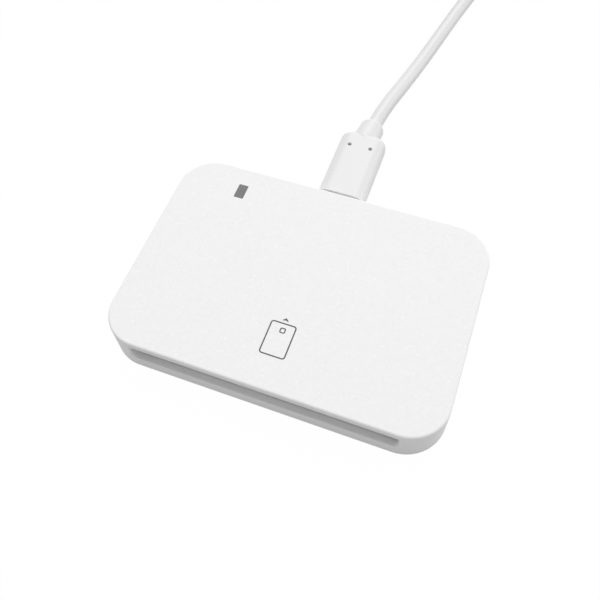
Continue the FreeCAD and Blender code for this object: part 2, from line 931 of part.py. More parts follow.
def host_plug_overmould():
    """Host plug's moulding: it ends at the origin's plane, with the strain relief beyond it."""
    front = -host_mould_length
    body = round_bar(host_mould_width, host_mould_height, host_mould_corner, front, 0, 0)
    body = body.makeFillet(host_mould_round, edges_on(body, "y", 0))
    body = body.makeChamfer(overmould_face_bevel, edges_on(body, "y", front))
    body = body.fuse(collar(host_collar_base, host_collar_tip, host_collar_length, collar_round))
    seat = block(
        (-host_width / 2 - plug_fit, front, -host_height / 2 - plug_fit),
        (host_width / 2 + plug_fit, front + plug_embed, host_height / 2 + plug_fit),
    )
    return to_host(body.cut(seat).removeSplitter())


def host_plug_shell():
    front = -host_mould_length
    tip = front - host_reach
    end = front + plug_embed
    half_x = host_width / 2
    half_z = host_height / 2
    bore_x = half_x - host_sheet
    bore_z = half_z - host_sheet
    outer = block((-half_x, tip, -half_z), (half_x, end, half_z))
    inner = block((-bore_x, tip, -bore_z), (bore_x, end, bore_z))
    windows = []
    for side in (-1, 1):
        x = side * host_window_spacing / 2
        y = tip + host_window_from_tip
        windows.append(
            block(
                (x - host_window / 2, y, -half_z),
                (x + host_window / 2, y + host_window, half_z),
            )
        )
    return to_host(outer.cut([inner] + windows))


def host_plug_tongue():
    front = -host_mould_length
    tip = front - host_reach
    floor = host_sheet - host_height / 2 + plug_fit
    blade = block(
        (-host_tongue_width / 2, tip + host_sheet, floor),
        (host_tongue_width / 2, front + plug_embed, floor + host_tongue_thickness),
    )
    root = block(
        (-host_tongue_width / 2, front, floor),
        (host_tongue_width / 2, front + plug_embed, host_height / 2 - host_sheet - plug_fit),
    )
    return to_host(blade.fuse(root).removeSplitter())


def pieces():
    """Every piece of the reader and its cable, by name."""
    made = {
        "top_cover": top_cover(),
        "bottom_cover": bottom_cover(),
        "led_window": led_window(),
        "circuit_board": circuit_board(),
        "board_screws": board_screws(),
        "card_contact_block": card_contact_block(),
        "card_switch_base": card_switch_base(),
        "card_switch_blade": contact_spring(*switch_seat()),
        "usb_receptacle_shell": usb_receptacle_shell(),
        "usb_receptacle_tongue": usb_receptacle_tongue(),
        "controller_chip": controller_chip(),
        "crystal_can": crystal_can(),
        "voltage_regulator": voltage_regulator(),
        "chip_capacitors": chip_capacitors(),
        "indicator_led": indicator_led(),
        "plug_shell": plug_shell(),
        "plug_insert": plug_insert(),
        "plug_overmould": plug_overmould(),
        "cable_cord": cord_tube("cable_cord", cord_route),
        "cable_coil": cable_coil(),
        "cable_tail": cord_tube("cable_tail", tail_route),
        "coil_tie": coil_tie(),
        "host_plug_overmould": host_plug_overmould(),
        "host_plug_shell": host_plug_shell(),
        "host_plug_tongue": host_plug_tongue(),
    }
    corners = ("front_left", "front_right", "rear_left", "rear_right")
    for corner, place in zip(corners, foot_places):
        made[f"foot_{corner}"] = foot(*place)
    for number, seat in enumerate(contact_seats(), start=1):
        made[f"contact_spring_{number}"] = contact_spring(*seat)
    return made


os.makedirs("parts", exist_ok=True)
for name, shape in pieces().items():
    shape.exportStep(f"parts/{name}.step")
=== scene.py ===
"""Dresses a slim smart card reader: finishes, printed card sign, contact strips, cable and studio."""
import math

import bmesh
import bpy
from bpy.props import FloatProperty, FloatVectorProperty, IntProperty, PointerProperty
from mathutils import Matrix, Quaternion, Vector


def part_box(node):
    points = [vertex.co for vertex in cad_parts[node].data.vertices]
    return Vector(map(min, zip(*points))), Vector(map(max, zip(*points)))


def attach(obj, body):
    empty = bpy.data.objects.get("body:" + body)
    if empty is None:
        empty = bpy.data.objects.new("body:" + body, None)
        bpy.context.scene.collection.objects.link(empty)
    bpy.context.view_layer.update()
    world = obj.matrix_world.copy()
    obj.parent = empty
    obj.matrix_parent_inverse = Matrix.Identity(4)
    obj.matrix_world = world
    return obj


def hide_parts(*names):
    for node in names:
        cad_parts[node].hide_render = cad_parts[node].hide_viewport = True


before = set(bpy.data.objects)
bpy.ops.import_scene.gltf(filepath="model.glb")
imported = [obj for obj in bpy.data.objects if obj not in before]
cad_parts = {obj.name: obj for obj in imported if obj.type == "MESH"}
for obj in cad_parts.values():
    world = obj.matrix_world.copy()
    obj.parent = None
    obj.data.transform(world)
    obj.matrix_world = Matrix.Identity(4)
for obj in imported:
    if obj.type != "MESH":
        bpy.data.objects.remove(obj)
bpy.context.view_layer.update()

bl_info = {
    "name": "Smart card reader",
    "version": (1, 0, 0),
    "blender": (4, 5, 0),
    "location": "3D View > Sidebar > Card Reader",
    "description": "Finishes, sign, contacts, cable and studio of a slim smart card reader",
    "category": "Object",
}

MM = 0.001
READER = "reader"
CABLE = "cable"

# The finish slot that each piece of the frame was packed with.
slot_of = {name: piece.data.materials[0].name for name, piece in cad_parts.items()}

# The cord from the collar of the plug to the coil, and from the coil to the host plug, in metres.
CORD_ROUTE = [
    (0.00053, 0.0494, 0.0052),
    (0.00116, 0.05536, 0.0052),
    (0.0031, 0.0663, 0.0036),
    (0.00525, 0.0785, 0.0021),
    (0.0075, 0.0910, 0.00182),
    (0.01005, 0.1041, 0.0018),
    (0.0134, 0.1169, 0.0022),
]
TAIL_ROUTE = [
    (0.0202, 0.1334, 0.00695),
    (0.0211, 0.1430, 0.0068),
    (0.0203, 0.1535, 0.0059),
    (0.0168, 0.1628, 0.0050),
    (0.0105, 0.1696, 0.0042),
    (0.0020, 0.1728, 0.0039),
    (-0.0065, 0.1728, 0.0039),
]


def linear(hex_colour):
    """Linear RGBA of an sRGB hex colour."""
    shares = [int(hex_colour[place:place + 2], 16) / 255 for place in (1, 3, 5)]
    curve = [share / 12.92 if share <= 0.04045 else ((share + 0.055) / 1.055) ** 2.4 for share in shares]
    return (*curve, 1.0)


WHITE = linear("#FFFFFF")


def size(name, description, default):
    """A length property, in metres."""
    return FloatProperty(name=name, description=description, default=default, unit="LENGTH", precision=5)


def spot(name, description, default):
    """A point property, in metres."""
    return FloatVectorProperty(name=name, description=description, default=default, subtype="TRANSLATION")


def angle(name, description, degrees):
    """An angle property, written in degrees."""
    return FloatProperty(name=name, description=description, default=math.radians(degrees), subtype="ANGLE")


def power(name, description, watts):
    """A property for the power of a lamp."""
    return FloatProperty(name=name, description=description, default=watts, unit="POWER", min=0)


def count(name, description, default, least):
    """A property that counts."""
    return IntProperty(name=name, description=description, default=default, min=least)


def colour(name, description, hex_colour):
    """A colour property, written as an sRGB hex value."""
    return FloatVectorProperty(
        name=name, description=description, default=linear(hex_colour), size=4, subtype="COLOR", min=0, max=1
    )


class CardReaderFinish(bpy.types.PropertyGroup):
    """Colours and grain of the mouldings, the metal and the print."""

    case: colour("Case", "White ABS of both covers", "#F6F6F6")
    window: colour("Window", "Smoked light pipe", "#4C4C4E")
    foot: colour("Feet", "Silicone rubber", "#C9C9C7")
    plug: colour("Plugs", "Soft PVC overmould", "#EAEAEA")
    jacket: colour("Cord", "PVC jacket", "#E7E7E7")
    strap: colour("Strap", "Woven nylon", "#DADAD8")
    ink: colour("Ink", "Pad-printed sign", "#5A5A5C")
    board: colour("Board", "Solder mask over glass epoxy", "#1F5A38")
    steel: colour("Steel", "Nickel plating of the shells, the screws and the crystal can", "#C9C7C2")
    gold: colour("Gold", "Plating of the contacts", "#D9B25A")
    housing: colour("Housings", "Liquid crystal polymer that holds the contacts", "#1C1C1D")
    chip: colour("Chips", "Epoxy round the chips", "#232324")
    ceramic: colour("Capacitors", "Fired ceramic", "#B79B78")
    diode: colour("Diode", "Milky resin", "#E9E6D8")
    tongue: colour("Host tongue", "Polyester tongue of the host plug", "#E4E4E2")
    grain: size("Grain", "Spacing of the eroded texture, as coarse as it needs to show", 0.42 * MM)
    # The pale specks are painted highlights and the dark specks painted shade.
    specks: size("Specks", "Spacing of the pale and dark specks in the eroded texture", 1.25 * MM)
    pit_depth: size("Pit depth", "Depth of the eroded texture", 0.012 * MM)
    peel: size("Peel", "Spacing of the soft ripple on the plugs and the cord", 1.1 * MM)
    threads: size("Threads", "Spacing of the strap's threads", 0.14 * MM)


class CardReaderSign(bpy.types.PropertyGroup):
    """Printed card with its chip and an arrow towards the contacts."""

    width: size("Card width", "Outline of the printed card, across", 5.37 * MM)
    length: size("Card length", "Outline of the printed card, along", 7.4 * MM)
    corner: size("Card corner", "Corner radius of the outline", 0.64 * MM)
    line: size("Line", "Width of the printed lines", 0.27 * MM)
    middle: size("Middle", "Middle of the printed card, in front of the reader's middle", 13.28 * MM)
    chip: size("Chip", "Side of the printed chip", 1.2 * MM)
    chip_corner: size("Chip corner", "Corner radius of the chip", 0.36 * MM)
    chip_line: size("Chip line", "Width of the chip's lines", 0.24 * MM)
    chip_rise: size("Chip rise", "Middle of the card to the middle of the chip, along", 2.05 * MM)
    chip_shift: size("Chip shift", "Middle of the card to the middle of the chip, across", 0.19 * MM)
    arrow_width: size("Arrow width", "Base of the arrow", 1.13 * MM)
    arrow_length: size("Arrow length", "Base to tip of the arrow", 0.7 * MM)
    arrow_foot: size("Arrow foot", "Height of the arrow's blunt ends", 0.17 * MM)
    arrow_notch: size("Arrow notch", "Depth of the notch in the arrow's base", 0.18 * MM)
    arrow_gap: size("Arrow gap", "Card outline to the arrow's base", 0.44 * MM)
    ink_thickness: size("Ink", "Thickness of the print", 0.015 * MM)


class CardReaderCable(bpy.types.PropertyGroup):
    """Round cord, its coil and the strap that ties it."""

    diameter: size("Diameter", "Cord over its jacket", 3.6 * MM)
    length: size("Length", "Cord from plug to host plug", 1.0)
    coil_x: size("Coil X", "Middle of the coil", -6.0 * MM)
    coil_y: size("Coil Y", "Middle of the coil", 138.0 * MM)
    coil_radius: size("Coil radius", "Middle of the bundle of turns", 19.4 * MM)
    coil_low: size("Coil height", "Middle of the lower row of turns", 2.45 * MM)
    lower_turns: count("Lower turns", "Turns in the lower row", 4, 2)
    turn_points: count("Points", "Control points for each turn", 16, 12)
    coil_start: angle("Coil start", "Where the cord joins the coil", -17)
    strap_place: angle("Strap place", "Where the strap sits on the coil", 255)
    strap_width: size("Strap width", "Width of the strap", 4.0 * MM)
    strap_thickness: size("Strap thickness", "Thickness of the strap", 0.55 * MM)
    strap_fit: size("Strap fit", "Turns to the inside of the strap", 0.05 * MM)
    strap_lap: size("Strap lap", "Strap to its free end, which lies over it", 0.02 * MM)


class CardReaderContacts(bpy.types.PropertyGroup):
    """Gold strips on the tongues of the host plug and the port."""

    host_width: size("Host strip width", "Width of a host plug strip", 1.0 * MM)
    host_length: size("Host strip length", "Length of a host plug strip", 7.4 * MM)
    host_blade: size("Host blade", "Thickness of the host plug's tongue", 1.84 * MM)
    host_recess: size("Host recess", "Tip of the tongue to the strips", 1.0 * MM)
    host_inner: size("Host inner", "Middle to the inner strips", 1.0 * MM)
    host_outer: size("Host outer", "Middle to the outer strips", 3.5 * MM)
    port_pitch: size("Port pitch", "Spacing of the port's strips", 0.5 * MM)
    port_width: size("Port strip width", "Width of a port strip", 0.26 * MM)
    port_length: size("Port strip length", "Length of a port strip", 3.6 * MM)
    port_recess: size("Port recess", "Tip of the tongue to the strips", 0.4 * MM)
    port_blade: size("Port blade", "Thickness of the port's tongue", 0.7 * MM)
    port_count: count("Port strips", "Strips on each side of the tongue", 12, 1)
    thickness: size("Strip thickness", "Height of a strip over its tongue", 0.06 * MM)


class CardReaderStage(bpy.types.PropertyGroup):
    """Camera, floor and soft light."""

    camera_place: spot("Camera", "Where the camera stands", (0.02427, -0.057473, 0.117904))
    camera_target: spot("Target", "Floor point in the middle of the view", (-0.001006, 0.000996, 0.0))
    camera_roll: angle("Roll", "Turn about the line of sight", 3.7)
    camera_near: size("Near limit", "Nearest distance that the camera shows", 5 * MM)
    lens: FloatProperty(name="Lens", description="Focal length", default=37.044, unit="CAMERA", min=1)
    floor_side: size("Floor", "Side of the floor", 6.0)
    floor_drop: size("Floor drop", "Floor below the feet, so that the two share no plane", 0.02 * MM)
    floor_white: FloatProperty(
        name="Floor white", description="Share of the seen floor that takes no shadow", default=0.985,
        subtype="FACTOR", min=0, max=1,
    )
    floor_bounce: colour("Floor bounce", "What the floor sends up to the object", "#C2C2C2")
    sky: FloatProperty(name="Sky", description="Strength of the even light", default=0.54, min=0)
    lamp_target: spot("Lamp target", "Point that the lamps face", (0.0, 0.02, 0.0))
    key: power("Key lamp", "Lamp behind the reader", 65.0)
    key_place: spot("Key place", "Middle of the key lamp", (-0.24, 2.4, 2.8))
    key_size: size("Key size", "Side of the key lamp", 2.4)
    left: power("Left lamp", "Lamp on the left", 0.75)
    left_place: spot("Left place", "Middle of the left lamp", (-0.75, 0.12, 0.25))
    right: power("Right lamp", "Lamp on the right", 2.0)
    right_place: spot("Right place", "Middle of the right lamp", (0.75, 0.6, 0.25))
    side_size: size("Side size", "Side of the lamps on the left and right", 0.6)


def add_node(tree, kind, settings=None, values=None, links=None):
    """Adds a node with its settings, its socket values and the links into it."""
    node = tree.nodes.new(kind)
    for name, value in (settings or {}).items():
        setattr(node, name, value)
    for socket, value in (values or {}).items():
        node.inputs[socket].default_value = value
    for socket, source in (links or {}).items():
        tree.links.new(source, node.inputs[socket])
    return node


def new_material(name):
    """An empty material and its node tree."""
    material = bpy.data.materials.new(name)
    material.use_nodes = True
    material.node_tree.nodes.clear()
    return material, material.node_tree


def finish_material(material, tree, values, links):
    """Closes a material with a Principled shader."""
    shader = add_node(tree, "ShaderNodeBsdfPrincipled", values=values, links=links)
    add_node(tree, "ShaderNodeOutputMaterial", links={"Surface": shader.outputs["BSDF"]})
    return material


def shade(base, share):
    """A colour made darker or paler by a share of its light."""
    return tuple(min(1.0, part * share) for part in base[:3]) + (1.0,)


def eroded_abs(name, base, grain, speck_spacing, depth):
    """ABS moulded in a spark-eroded tool: matt, faintly clouded, with fine pits, and pale specks of painted
    highlight and dark specks of painted shade.
    """
    cloud_dark, cloud_pale = shade(base, 0.945), shade(base, 1.052)
    # Pale specks are painted highlights of pits that catch the light, and dark specks are painted shade held
    # in pits.
    speck_painted_shade, speck_painted_highlight = shade(base, 0.93), shade(base, 1.083)
    # A speck fades out between these shares of the spacing.
    speck_core, speck_rim = 0.06, 0.2
    # A cell whose own grey is under the split has a dark speck of painted shade, and any other a pale speck
    # of painted highlight.
    tone_split, tone_blur = 0.38, 0.01
    smoothest, roughest = 0.58, 0.76
    material, tree = new_material(name)
    place = add_node(tree, "ShaderNodeTexCoord").outputs["Object"]
    pits = add_node(
        tree, "ShaderNodeTexNoise", values={"Scale": 1 / grain, "Detail": 2.0, "Roughness": 0.6},
        links={"Vector": place},
    )
    cloud = add_node(
        tree, "ShaderNodeTexNoise", values={"Scale": 1 / (2 * grain), "Detail": 2.0, "Roughness": 1.0},
        links={"Vector": place},
    )
    mottle = add_node(
        tree, "ShaderNodeMix", {"data_type": "RGBA"}, {"A": cloud_dark, "B": cloud_pale},
        {"Factor": cloud.outputs["Fac"]},
    )
    specks = add_node(
        tree, "ShaderNodeTexVoronoi", {"feature": "F1"}, {"Scale": 1 / speck_spacing, "Randomness": 1.0},
        {"Vector": place},
    )
    speck_size = add_node(
        tree, "ShaderNodeMapRange",
        values={"From Min": speck_core, "From Max": speck_rim, "To Min": 1.0, "To Max": 0.0},
        links={"Value": specks.outputs["Distance"]},
    )
    speck_tone = add_node(
        tree, "ShaderNodeMapRange",
        values={"From Min": tone_split - tone_blur, "From Max": tone_split + tone_blur},
        links={"Value": specks.outputs["Color"]},
    )
    speck = add_node(
        tree, "ShaderNodeMix", {"data_type": "RGBA"}, {"A": speck_painted_shade, "B": speck_painted_highlight},
        {"Factor": speck_tone.outputs["Result"]},
    )
    # The specks of painted highlight and painted shade lie over the mottle.
    tint = add_node(
        tree, "ShaderNodeMix", {"data_type": "RGBA"},
        links={
            "Factor": speck_size.outputs["Result"],
            "A": mottle.outputs["Result"],
            "B": speck.outputs["Result"],
        },
    )
    relief = add_node(
        tree, "ShaderNodeBump", values={"Strength": 0.35, "Distance": depth},
        links={"Height": pits.outputs["Fac"]},
    )
    gloss = add_node(
        tree, "ShaderNodeMapRange", values={"To Min": smoothest, "To Max": roughest},
        links={"Value": pits.outputs["Fac"]},
    )
    return finish_material(
        material, tree, {"IOR": 1.54},
        {
            "Base Color": tint.outputs["Result"],
            "Roughness": gloss.outputs["Result"],
            "Normal": relief.outputs["Normal"],
        },
    )


def soft_pvc(name, base, ripple, roughness):
    """Soft PVC moulded or drawn over wire: satin, with a faint ripple and slightly uneven gloss."""
    gloss_spread = 0.06
    material, tree = new_material(name)
    place = add_node(tree, "ShaderNodeTexCoord").outputs["Object"]
    peel = add_node(
        tree, "ShaderNodeTexNoise", values={"Scale": 1 / ripple, "Detail": 1.0}, links={"Vector": place}
    )
    relief = add_node(
        tree, "ShaderNodeBump", values={"Strength": 0.15, "Distance": ripple / 60},
        links={"Height": peel.outputs["Fac"]},
    )
    gloss = add_node(
        tree, "ShaderNodeMapRange",
        values={"To Min": roughness - gloss_spread, "To Max": roughness + gloss_spread},
        links={"Value": peel.outputs["Fac"]},
    )
    tint = add_node(
        tree, "ShaderNodeMix", {"data_type": "RGBA"}, {"A": shade(base, 0.97), "B": base},
        {"Factor": peel.outputs["Fac"]},
    )
    return finish_material(
        material, tree, {"IOR": 1.53},
        {
            "Base Color": tint.outputs["Result"],
            "Roughness": gloss.outputs["Result"],
            "Normal": relief.outputs["Normal"],
        },
    )


def plain_moulding(name, base, grain, roughness, ior=1.5):
    """Small moulded, cast or fired piece: one colour with a faint mottle and an uneven gloss."""
    gloss_spread = 0.08
    material, tree = new_material(name)
    place = add_node(tree, "ShaderNodeTexCoord").outputs["Object"]
    mottle = add_node(
        tree, "ShaderNodeTexNoise", values={"Scale": 1 / grain, "Detail": 3.0}, links={"Vector": place}
    )
    tint = add_node(
        tree, "ShaderNodeMix", {"data_type": "RGBA"}, {"A": shade(base, 0.9), "B": base},
        {"Factor": mottle.outputs["Fac"]},
    )
    gloss = add_node(
        tree, "ShaderNodeMapRange",
        values={"To Min": roughness - gloss_spread, "To Max": roughness + gloss_spread},
        links={"Value": mottle.outputs["Fac"]},
    )
    relief = add_node(
        tree, "ShaderNodeBump", values={"Strength": 0.2, "Distance": grain / 20},
        links={"Height": mottle.outputs["Fac"]},
    )
    return finish_material(
        material, tree, {"IOR": ior},
        {
            "Base Color": tint.outputs["Result"],
            "Roughness": gloss.outputs["Result"],
            "Normal": relief.outputs["Normal"],
        },
    )


def plated_metal(name, base, roughness, streak):
    """Plated sheet metal: bright, with faint rolling streaks from front to rear."""
    squeeze_along = 0.08
    smoother, rougher = 0.06, 0.08
    material, tree = new_material(name)
    place = add_node(tree, "ShaderNodeTexCoord").outputs["Object"]
    stretch = add_node(
        tree, "ShaderNodeMapping", values={"Scale": (1.0, squeeze_along, 1.0)}, links={"Vector": place}
    )
    rolled = add_node(
        tree, "ShaderNodeTexNoise", values={"Scale": 1 / streak, "Detail": 3.0},
        links={"Vector": stretch.outputs["Vector"]},
    )
    gloss = add_node(
        tree, "ShaderNodeMapRange", values={"To Min": roughness - smoother, "To Max": roughness + rougher},
        links={"Value": rolled.outputs["Fac"]},
    )
    relief = add_node(
        tree, "ShaderNodeBump", values={"Strength": 0.1, "Distance": streak / 40},
        links={"Height": rolled.outputs["Fac"]},
    )
    return finish_material(
        material, tree, {"Base Color": base, "Metallic": 1.0},
        {"Roughness": gloss.outputs["Result"], "Normal": relief.outputs["Normal"]},
    )


def woven_nylon(name, base, thread):
    """Nylon strap with a napped loop face: crossing threads that break up the light, with painted shade in
    the gaps between them, no gloss.
    """
    material, tree = new_material(name)
    place = add_node(tree, "ShaderNodeTexCoord").outputs["UV"]
    # The UV map is in millimetres, and at a scale of 1 a wave is a tenth of pi long.
    threads = {"Scale": math.pi / 10 * MM / thread, "Distortion": 0.6, "Detail": 1.0}
    across = add_node(
        tree, "ShaderNodeTexWave", {"wave_type": "BANDS", "bands_direction": "X"}, threads,
        {"Vector": place},
    )
    along = add_node(
        tree, "ShaderNodeTexWave", {"wave_type": "BANDS", "bands_direction": "Y"}, threads,
        {"Vector": place},
    )
    weave = add_node(
        tree, "ShaderNodeMath", {"operation": "MAXIMUM"},
        links={0: across.outputs["Fac"], 1: along.outputs["Fac"]},
    )
    # The gaps between the threads, where neither wave rises, are painted darker as shade.
    tint = add_node(
        tree, "ShaderNodeMix", {"data_type": "RGBA"}, {"A": shade(base, 0.72), "B": base},
        {"Factor": weave.outputs["Value"]},
    )
    relief = add_node(
        tree, "ShaderNodeBump", values={"Strength": 0.6, "Distance": thread},
        links={"Height": weave.outputs["Value"]},
    )
    return finish_material(
        material, tree, {"Roughness": 0.9, "Sheen Weight": 0.3},
        {"Base Color": tint.outputs["Result"], "Normal": relief.outputs["Normal"]},
    )


def dress(material, *slots):
    """Gives a finish to the pieces of the frame that were packed with these slots."""
    for name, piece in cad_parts.items():
        if slot_of[name] in slots:
            piece.material_slots[0].material = material


def add_piece(name, mesh, material, body):
    """Links a finished mesh as a piece that rides on a body of the frame."""
    piece = bpy.data.objects.new(name, mesh)
    bpy.context.scene.collection.objects.link(piece)
    piece.data.materials.clear()
    piece.data.materials.append(material)
    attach(piece, body)
    return piece


def rounded_loop(width, length, radius, centre, steps=6):
    """Points round a rectangle with round corners, counter-clockwise."""
    points = []
    for quarter, (side_x, side_y) in enumerate(((1, 1), (-1, 1), (-1, -1), (1, -1))):
        for step in range(steps + 1):
            turn = math.radians(90) * (quarter + step / steps)
            points.append((
                centre[0] + side_x * (width / 2 - radius) + radius * math.cos(turn),
                centre[1] + side_y * (length / 2 - radius) + radius * math.sin(turn),
            ))
    return points


def raised_ring(mesh, outer, inner, low, high):
    """Adds a closed ring of print between two loops with as many points."""
    loops = []
    for points, z in ((outer, low), (outer, high), (inner, high), (inner, low)):
        loops.append([mesh.verts.new((x, y, z)) for x, y in points])
    for loop, following in zip(loops, loops[1:] + loops[:1]):
        for number in range(len(loop)):
            after = (number + 1) % len(loop)
            mesh.faces.new((loop[number], loop[after], following[after], following[number]))


def raised_patch(mesh, points, low, high):
    """Adds a closed flat patch of print."""
    lower = [mesh.verts.new((x, y, low)) for x, y in points]
    upper = [mesh.verts.new((x, y, high)) for x, y in points]
    mesh.faces.new(lower[::-1])
    mesh.faces.new(upper)
    for number in range(len(points)):
        after = (number + 1) % len(points)
        mesh.faces.new((lower[number], lower[after], upper[after], upper[number]))


def to_mesh(name, shape):
    """Plain mesh from a bmesh, its faces pointing outwards."""
    bmesh.ops.recalc_face_normals(shape, faces=shape.faces)
    mesh = bpy.data.meshes.new(name)
    shape.to_mesh(mesh)
    shape.free()
    return mesh


def strip_row_tree():
    """Node tree that sets a flat strip on each point of a mesh."""
    tree = bpy.data.node_groups.new("contact strip row", "GeometryNodeTree")
    sockets = tree.interface
    sockets.new_socket("Geometry", in_out="INPUT", socket_type="NodeSocketGeometry")
    sockets.new_socket("Size", in_out="INPUT", socket_type="NodeSocketVector")
    sockets.new_socket("Material", in_out="INPUT", socket_type="NodeSocketMaterial")
    sockets.new_socket("Geometry", in_out="OUTPUT", socket_type="NodeSocketGeometry")
    given = add_node(tree, "NodeGroupInput")
    strip = add_node(tree, "GeometryNodeMeshCube", links={"Size": given.outputs["Size"]})
    row = add_node(
        tree, "GeometryNodeInstanceOnPoints",
        links={"Points": given.outputs["Geometry"], "Instance": strip.outputs["Mesh"]},
    )
    real = add_node(tree, "GeometryNodeRealizeInstances", links={"Geometry": row.outputs["Instances"]})
    plated = add_node(
        tree, "GeometryNodeSetMaterial",
        links={"Geometry": real.outputs["Geometry"], "Material": given.outputs["Material"]},
    )
    add_node(tree, "NodeGroupOutput", links={"Geometry": plated.outputs["Geometry"]})
    return tree


def strip_row(name, places, strip_size, material):
    """Plain mesh of like strips, one at each place."""
    points = bpy.data.meshes.new(name)
    points.from_pydata(places, [], [])
    carrier = bpy.data.objects.new(name + "_points", points)
    bpy.context.scene.collection.objects.link(carrier)
    modifier = carrier.modifiers.new("strips", "NODES")
    modifier.node_group = strip_row_tree()
    given = {"Size": strip_size, "Material": material}
    for item in modifier.node_group.interface.items_tree:
        if item.in_out == "INPUT" and item.name in given:
            modifier[item.identifier] = given[item.name]
    evaluated = carrier.evaluated_get(bpy.context.evaluated_depsgraph_get())
    mesh = bpy.data.meshes.new_from_object(evaluated)
    bpy.data.objects.remove(carrier)
    return mesh


class CARDREADER_OT_case(bpy.types.Operator):
    """Finish both covers, the feet and the indicator window"""

    bl_idname = "cardreader.case"
    bl_label = "Case"

    def execute(self, context):
        finish = context.scene.card_reader_finish
        abs_white = eroded_abs("abs_white_eroded", finish.case, finish.grain, finish.specks, finish.pit_depth)
        dress(abs_white, "case_plastic", "base_plastic")
        smoked = plain_moulding("polycarbonate_smoked", finish.window, grain=2 * MM, roughness=0.3, ior=1.58)
        dress(smoked, "window_plastic")
        rubber = plain_moulding("silicone_rubber_pad", finish.foot, grain=0.6 * MM, roughness=0.8, ior=1.43)
        dress(rubber, "foot_rubber")
        return {"FINISHED"}


class CARDREADER_OT_electronics(bpy.types.Operator):
    """Finish the board, the card contacts, the port and the parts on the board"""

    bl_idname = "cardreader.electronics"
    bl_label = "Electronics"

    def execute(self, context):
        finish = context.scene.card_reader_finish
        laminate = plain_moulding("glass_epoxy_solder_mask", finish.board, grain=0.8 * MM, roughness=0.4)
        dress(laminate, "board_laminate")
        steel = plated_metal("nickel_plated_steel", finish.steel, roughness=0.28, streak=0.4 * MM)
        dress(steel, "plated_steel")
        gold = plated_metal("gold_plated_bronze", finish.gold, roughness=0.25, streak=0.3 * MM)
        dress(gold, "contact_metal")
        polymer = plain_moulding(
            "liquid_crystal_polymer_black", finish.housing, grain=0.5 * MM, roughness=0.5
        )
        dress(polymer, "black_plastic")
        epoxy = plain_moulding("epoxy_mould_compound", finish.chip, grain=0.2 * MM, roughness=0.6)
        dress(epoxy, "chip_epoxy")
        ceramic = plain_moulding("fired_ceramic", finish.ceramic, grain=0.2 * MM, roughness=0.5)
        dress(ceramic, "ceramic")
        resin = plain_moulding("diode_resin", finish.diode, grain=0.3 * MM, roughness=0.3)
        dress(resin, "diode_resin")
        self.add_port_strips(context.scene.card_reader_contacts, gold)
        return {"FINISHED"}

    def add_port_strips(self, sizes, gold):
        """Sets a row of strips on each face of the port's tongue."""
        low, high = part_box("usb_receptacle_tongue")
        middle = (low + high) / 2
        along = high.y - sizes.port_recess - sizes.port_length / 2
        lift = sizes.port_blade / 2
        places = []
        for side in (-1, 1):
            for number in range(sizes.port_count):
                across = (number - (sizes.port_count - 1) / 2) * sizes.port_pitch
                places.append((middle.x + across, along, middle.z + side * lift))
        strip = (sizes.port_width, sizes.port_length, sizes.thickness)
        mesh = strip_row("port_contact_strips", places, strip, gold)
        add_piece("port_contact_strips", mesh, gold, READER)


class CARDREADER_OT_card_sign(bpy.types.Operator):
    """Print the card sign on the top cover"""

    bl_idname = "cardreader.card_sign"
    bl_label = "Card sign"

    def execute(self, context):
        sign = context.scene.card_reader_sign
        finish = context.scene.card_reader_finish
        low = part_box("top_cover")[1].z
        high = low + sign.ink_thickness
        card = (0.0, -sign.middle)
        chip = (sign.chip_shift, sign.chip_rise - sign.middle)
        inside = 2 * sign.line
        chip_hole = sign.chip - 2 * sign.chip_line
        shape = bmesh.new()
        raised_ring(
            shape,
            rounded_loop(sign.width, sign.length, sign.corner, card),
            rounded_loop(sign.width - inside, sign.length - inside, sign.corner - sign.line, card),
            low, high,
        )
        raised_ring(
            shape,
            rounded_loop(sign.chip, sign.chip, sign.chip_corner, chip),
            rounded_loop(chip_hole, chip_hole, sign.chip_corner - sign.chip_line, chip),
            low, high,
        )
        base = card[1] + sign.length / 2 + sign.arrow_gap
        half = sign.arrow_width / 2
        foot = base + sign.arrow_foot
        notch = (0.0, base + sign.arrow_notch)
        tip = (0.0, base + sign.arrow_length)
        raised_patch(shape, [(-half, base), notch, (half, base), (half, foot), tip, (-half, foot)], low, high)
        ink = plain_moulding("pad_printed_ink", finish.ink, grain=0.25 * MM, roughness=0.6)
        add_piece("card_sign", to_mesh("card_sign", shape), ink, READER)
        return {"FINISHED"}


class CARDREADER_OT_plugs(bpy.types.Operator):
    """Finish both plugs and set the contact strips on the host plug's tongue"""

    bl_idname = "cardreader.plugs"
    bl_label = "Plugs"

    def execute(self, context):
        finish = context.scene.card_reader_finish
        sizes = context.scene.card_reader_contacts
        overmould = soft_pvc("pvc_overmould", finish.plug, ripple=finish.peel, roughness=0.45)
        dress(overmould, "plug_plastic")
        tongue = plain_moulding("polyester_tongue_white", finish.tongue, grain=0.6 * MM, roughness=0.45)
        dress(tongue, "host_tongue_plastic")
        low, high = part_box("host_plug_tongue")
        middle = (low + high) / 2
        along = low.x + sizes.host_recess + sizes.host_length / 2
        top = low.z + sizes.host_blade
        offsets = (-sizes.host_outer, -sizes.host_inner, sizes.host_inner, sizes.host_outer)
        places = [(along, middle.y + offset, top) for offset in offsets]
        gold = bpy.data.materials["gold_plated_bronze"]
        strip = (sizes.host_length, sizes.host_width, sizes.thickness)
        mesh = strip_row("host_plug_contacts", places, strip, gold)
        add_piece("host_plug_contacts", mesh, gold, CABLE)
        return {"FINISHED"}


def smooth_step(share):
    """Eases a share between 0 and 1."""
    share = min(1.0, max(0.0, share))
    return share * share * (3 - 2 * share)


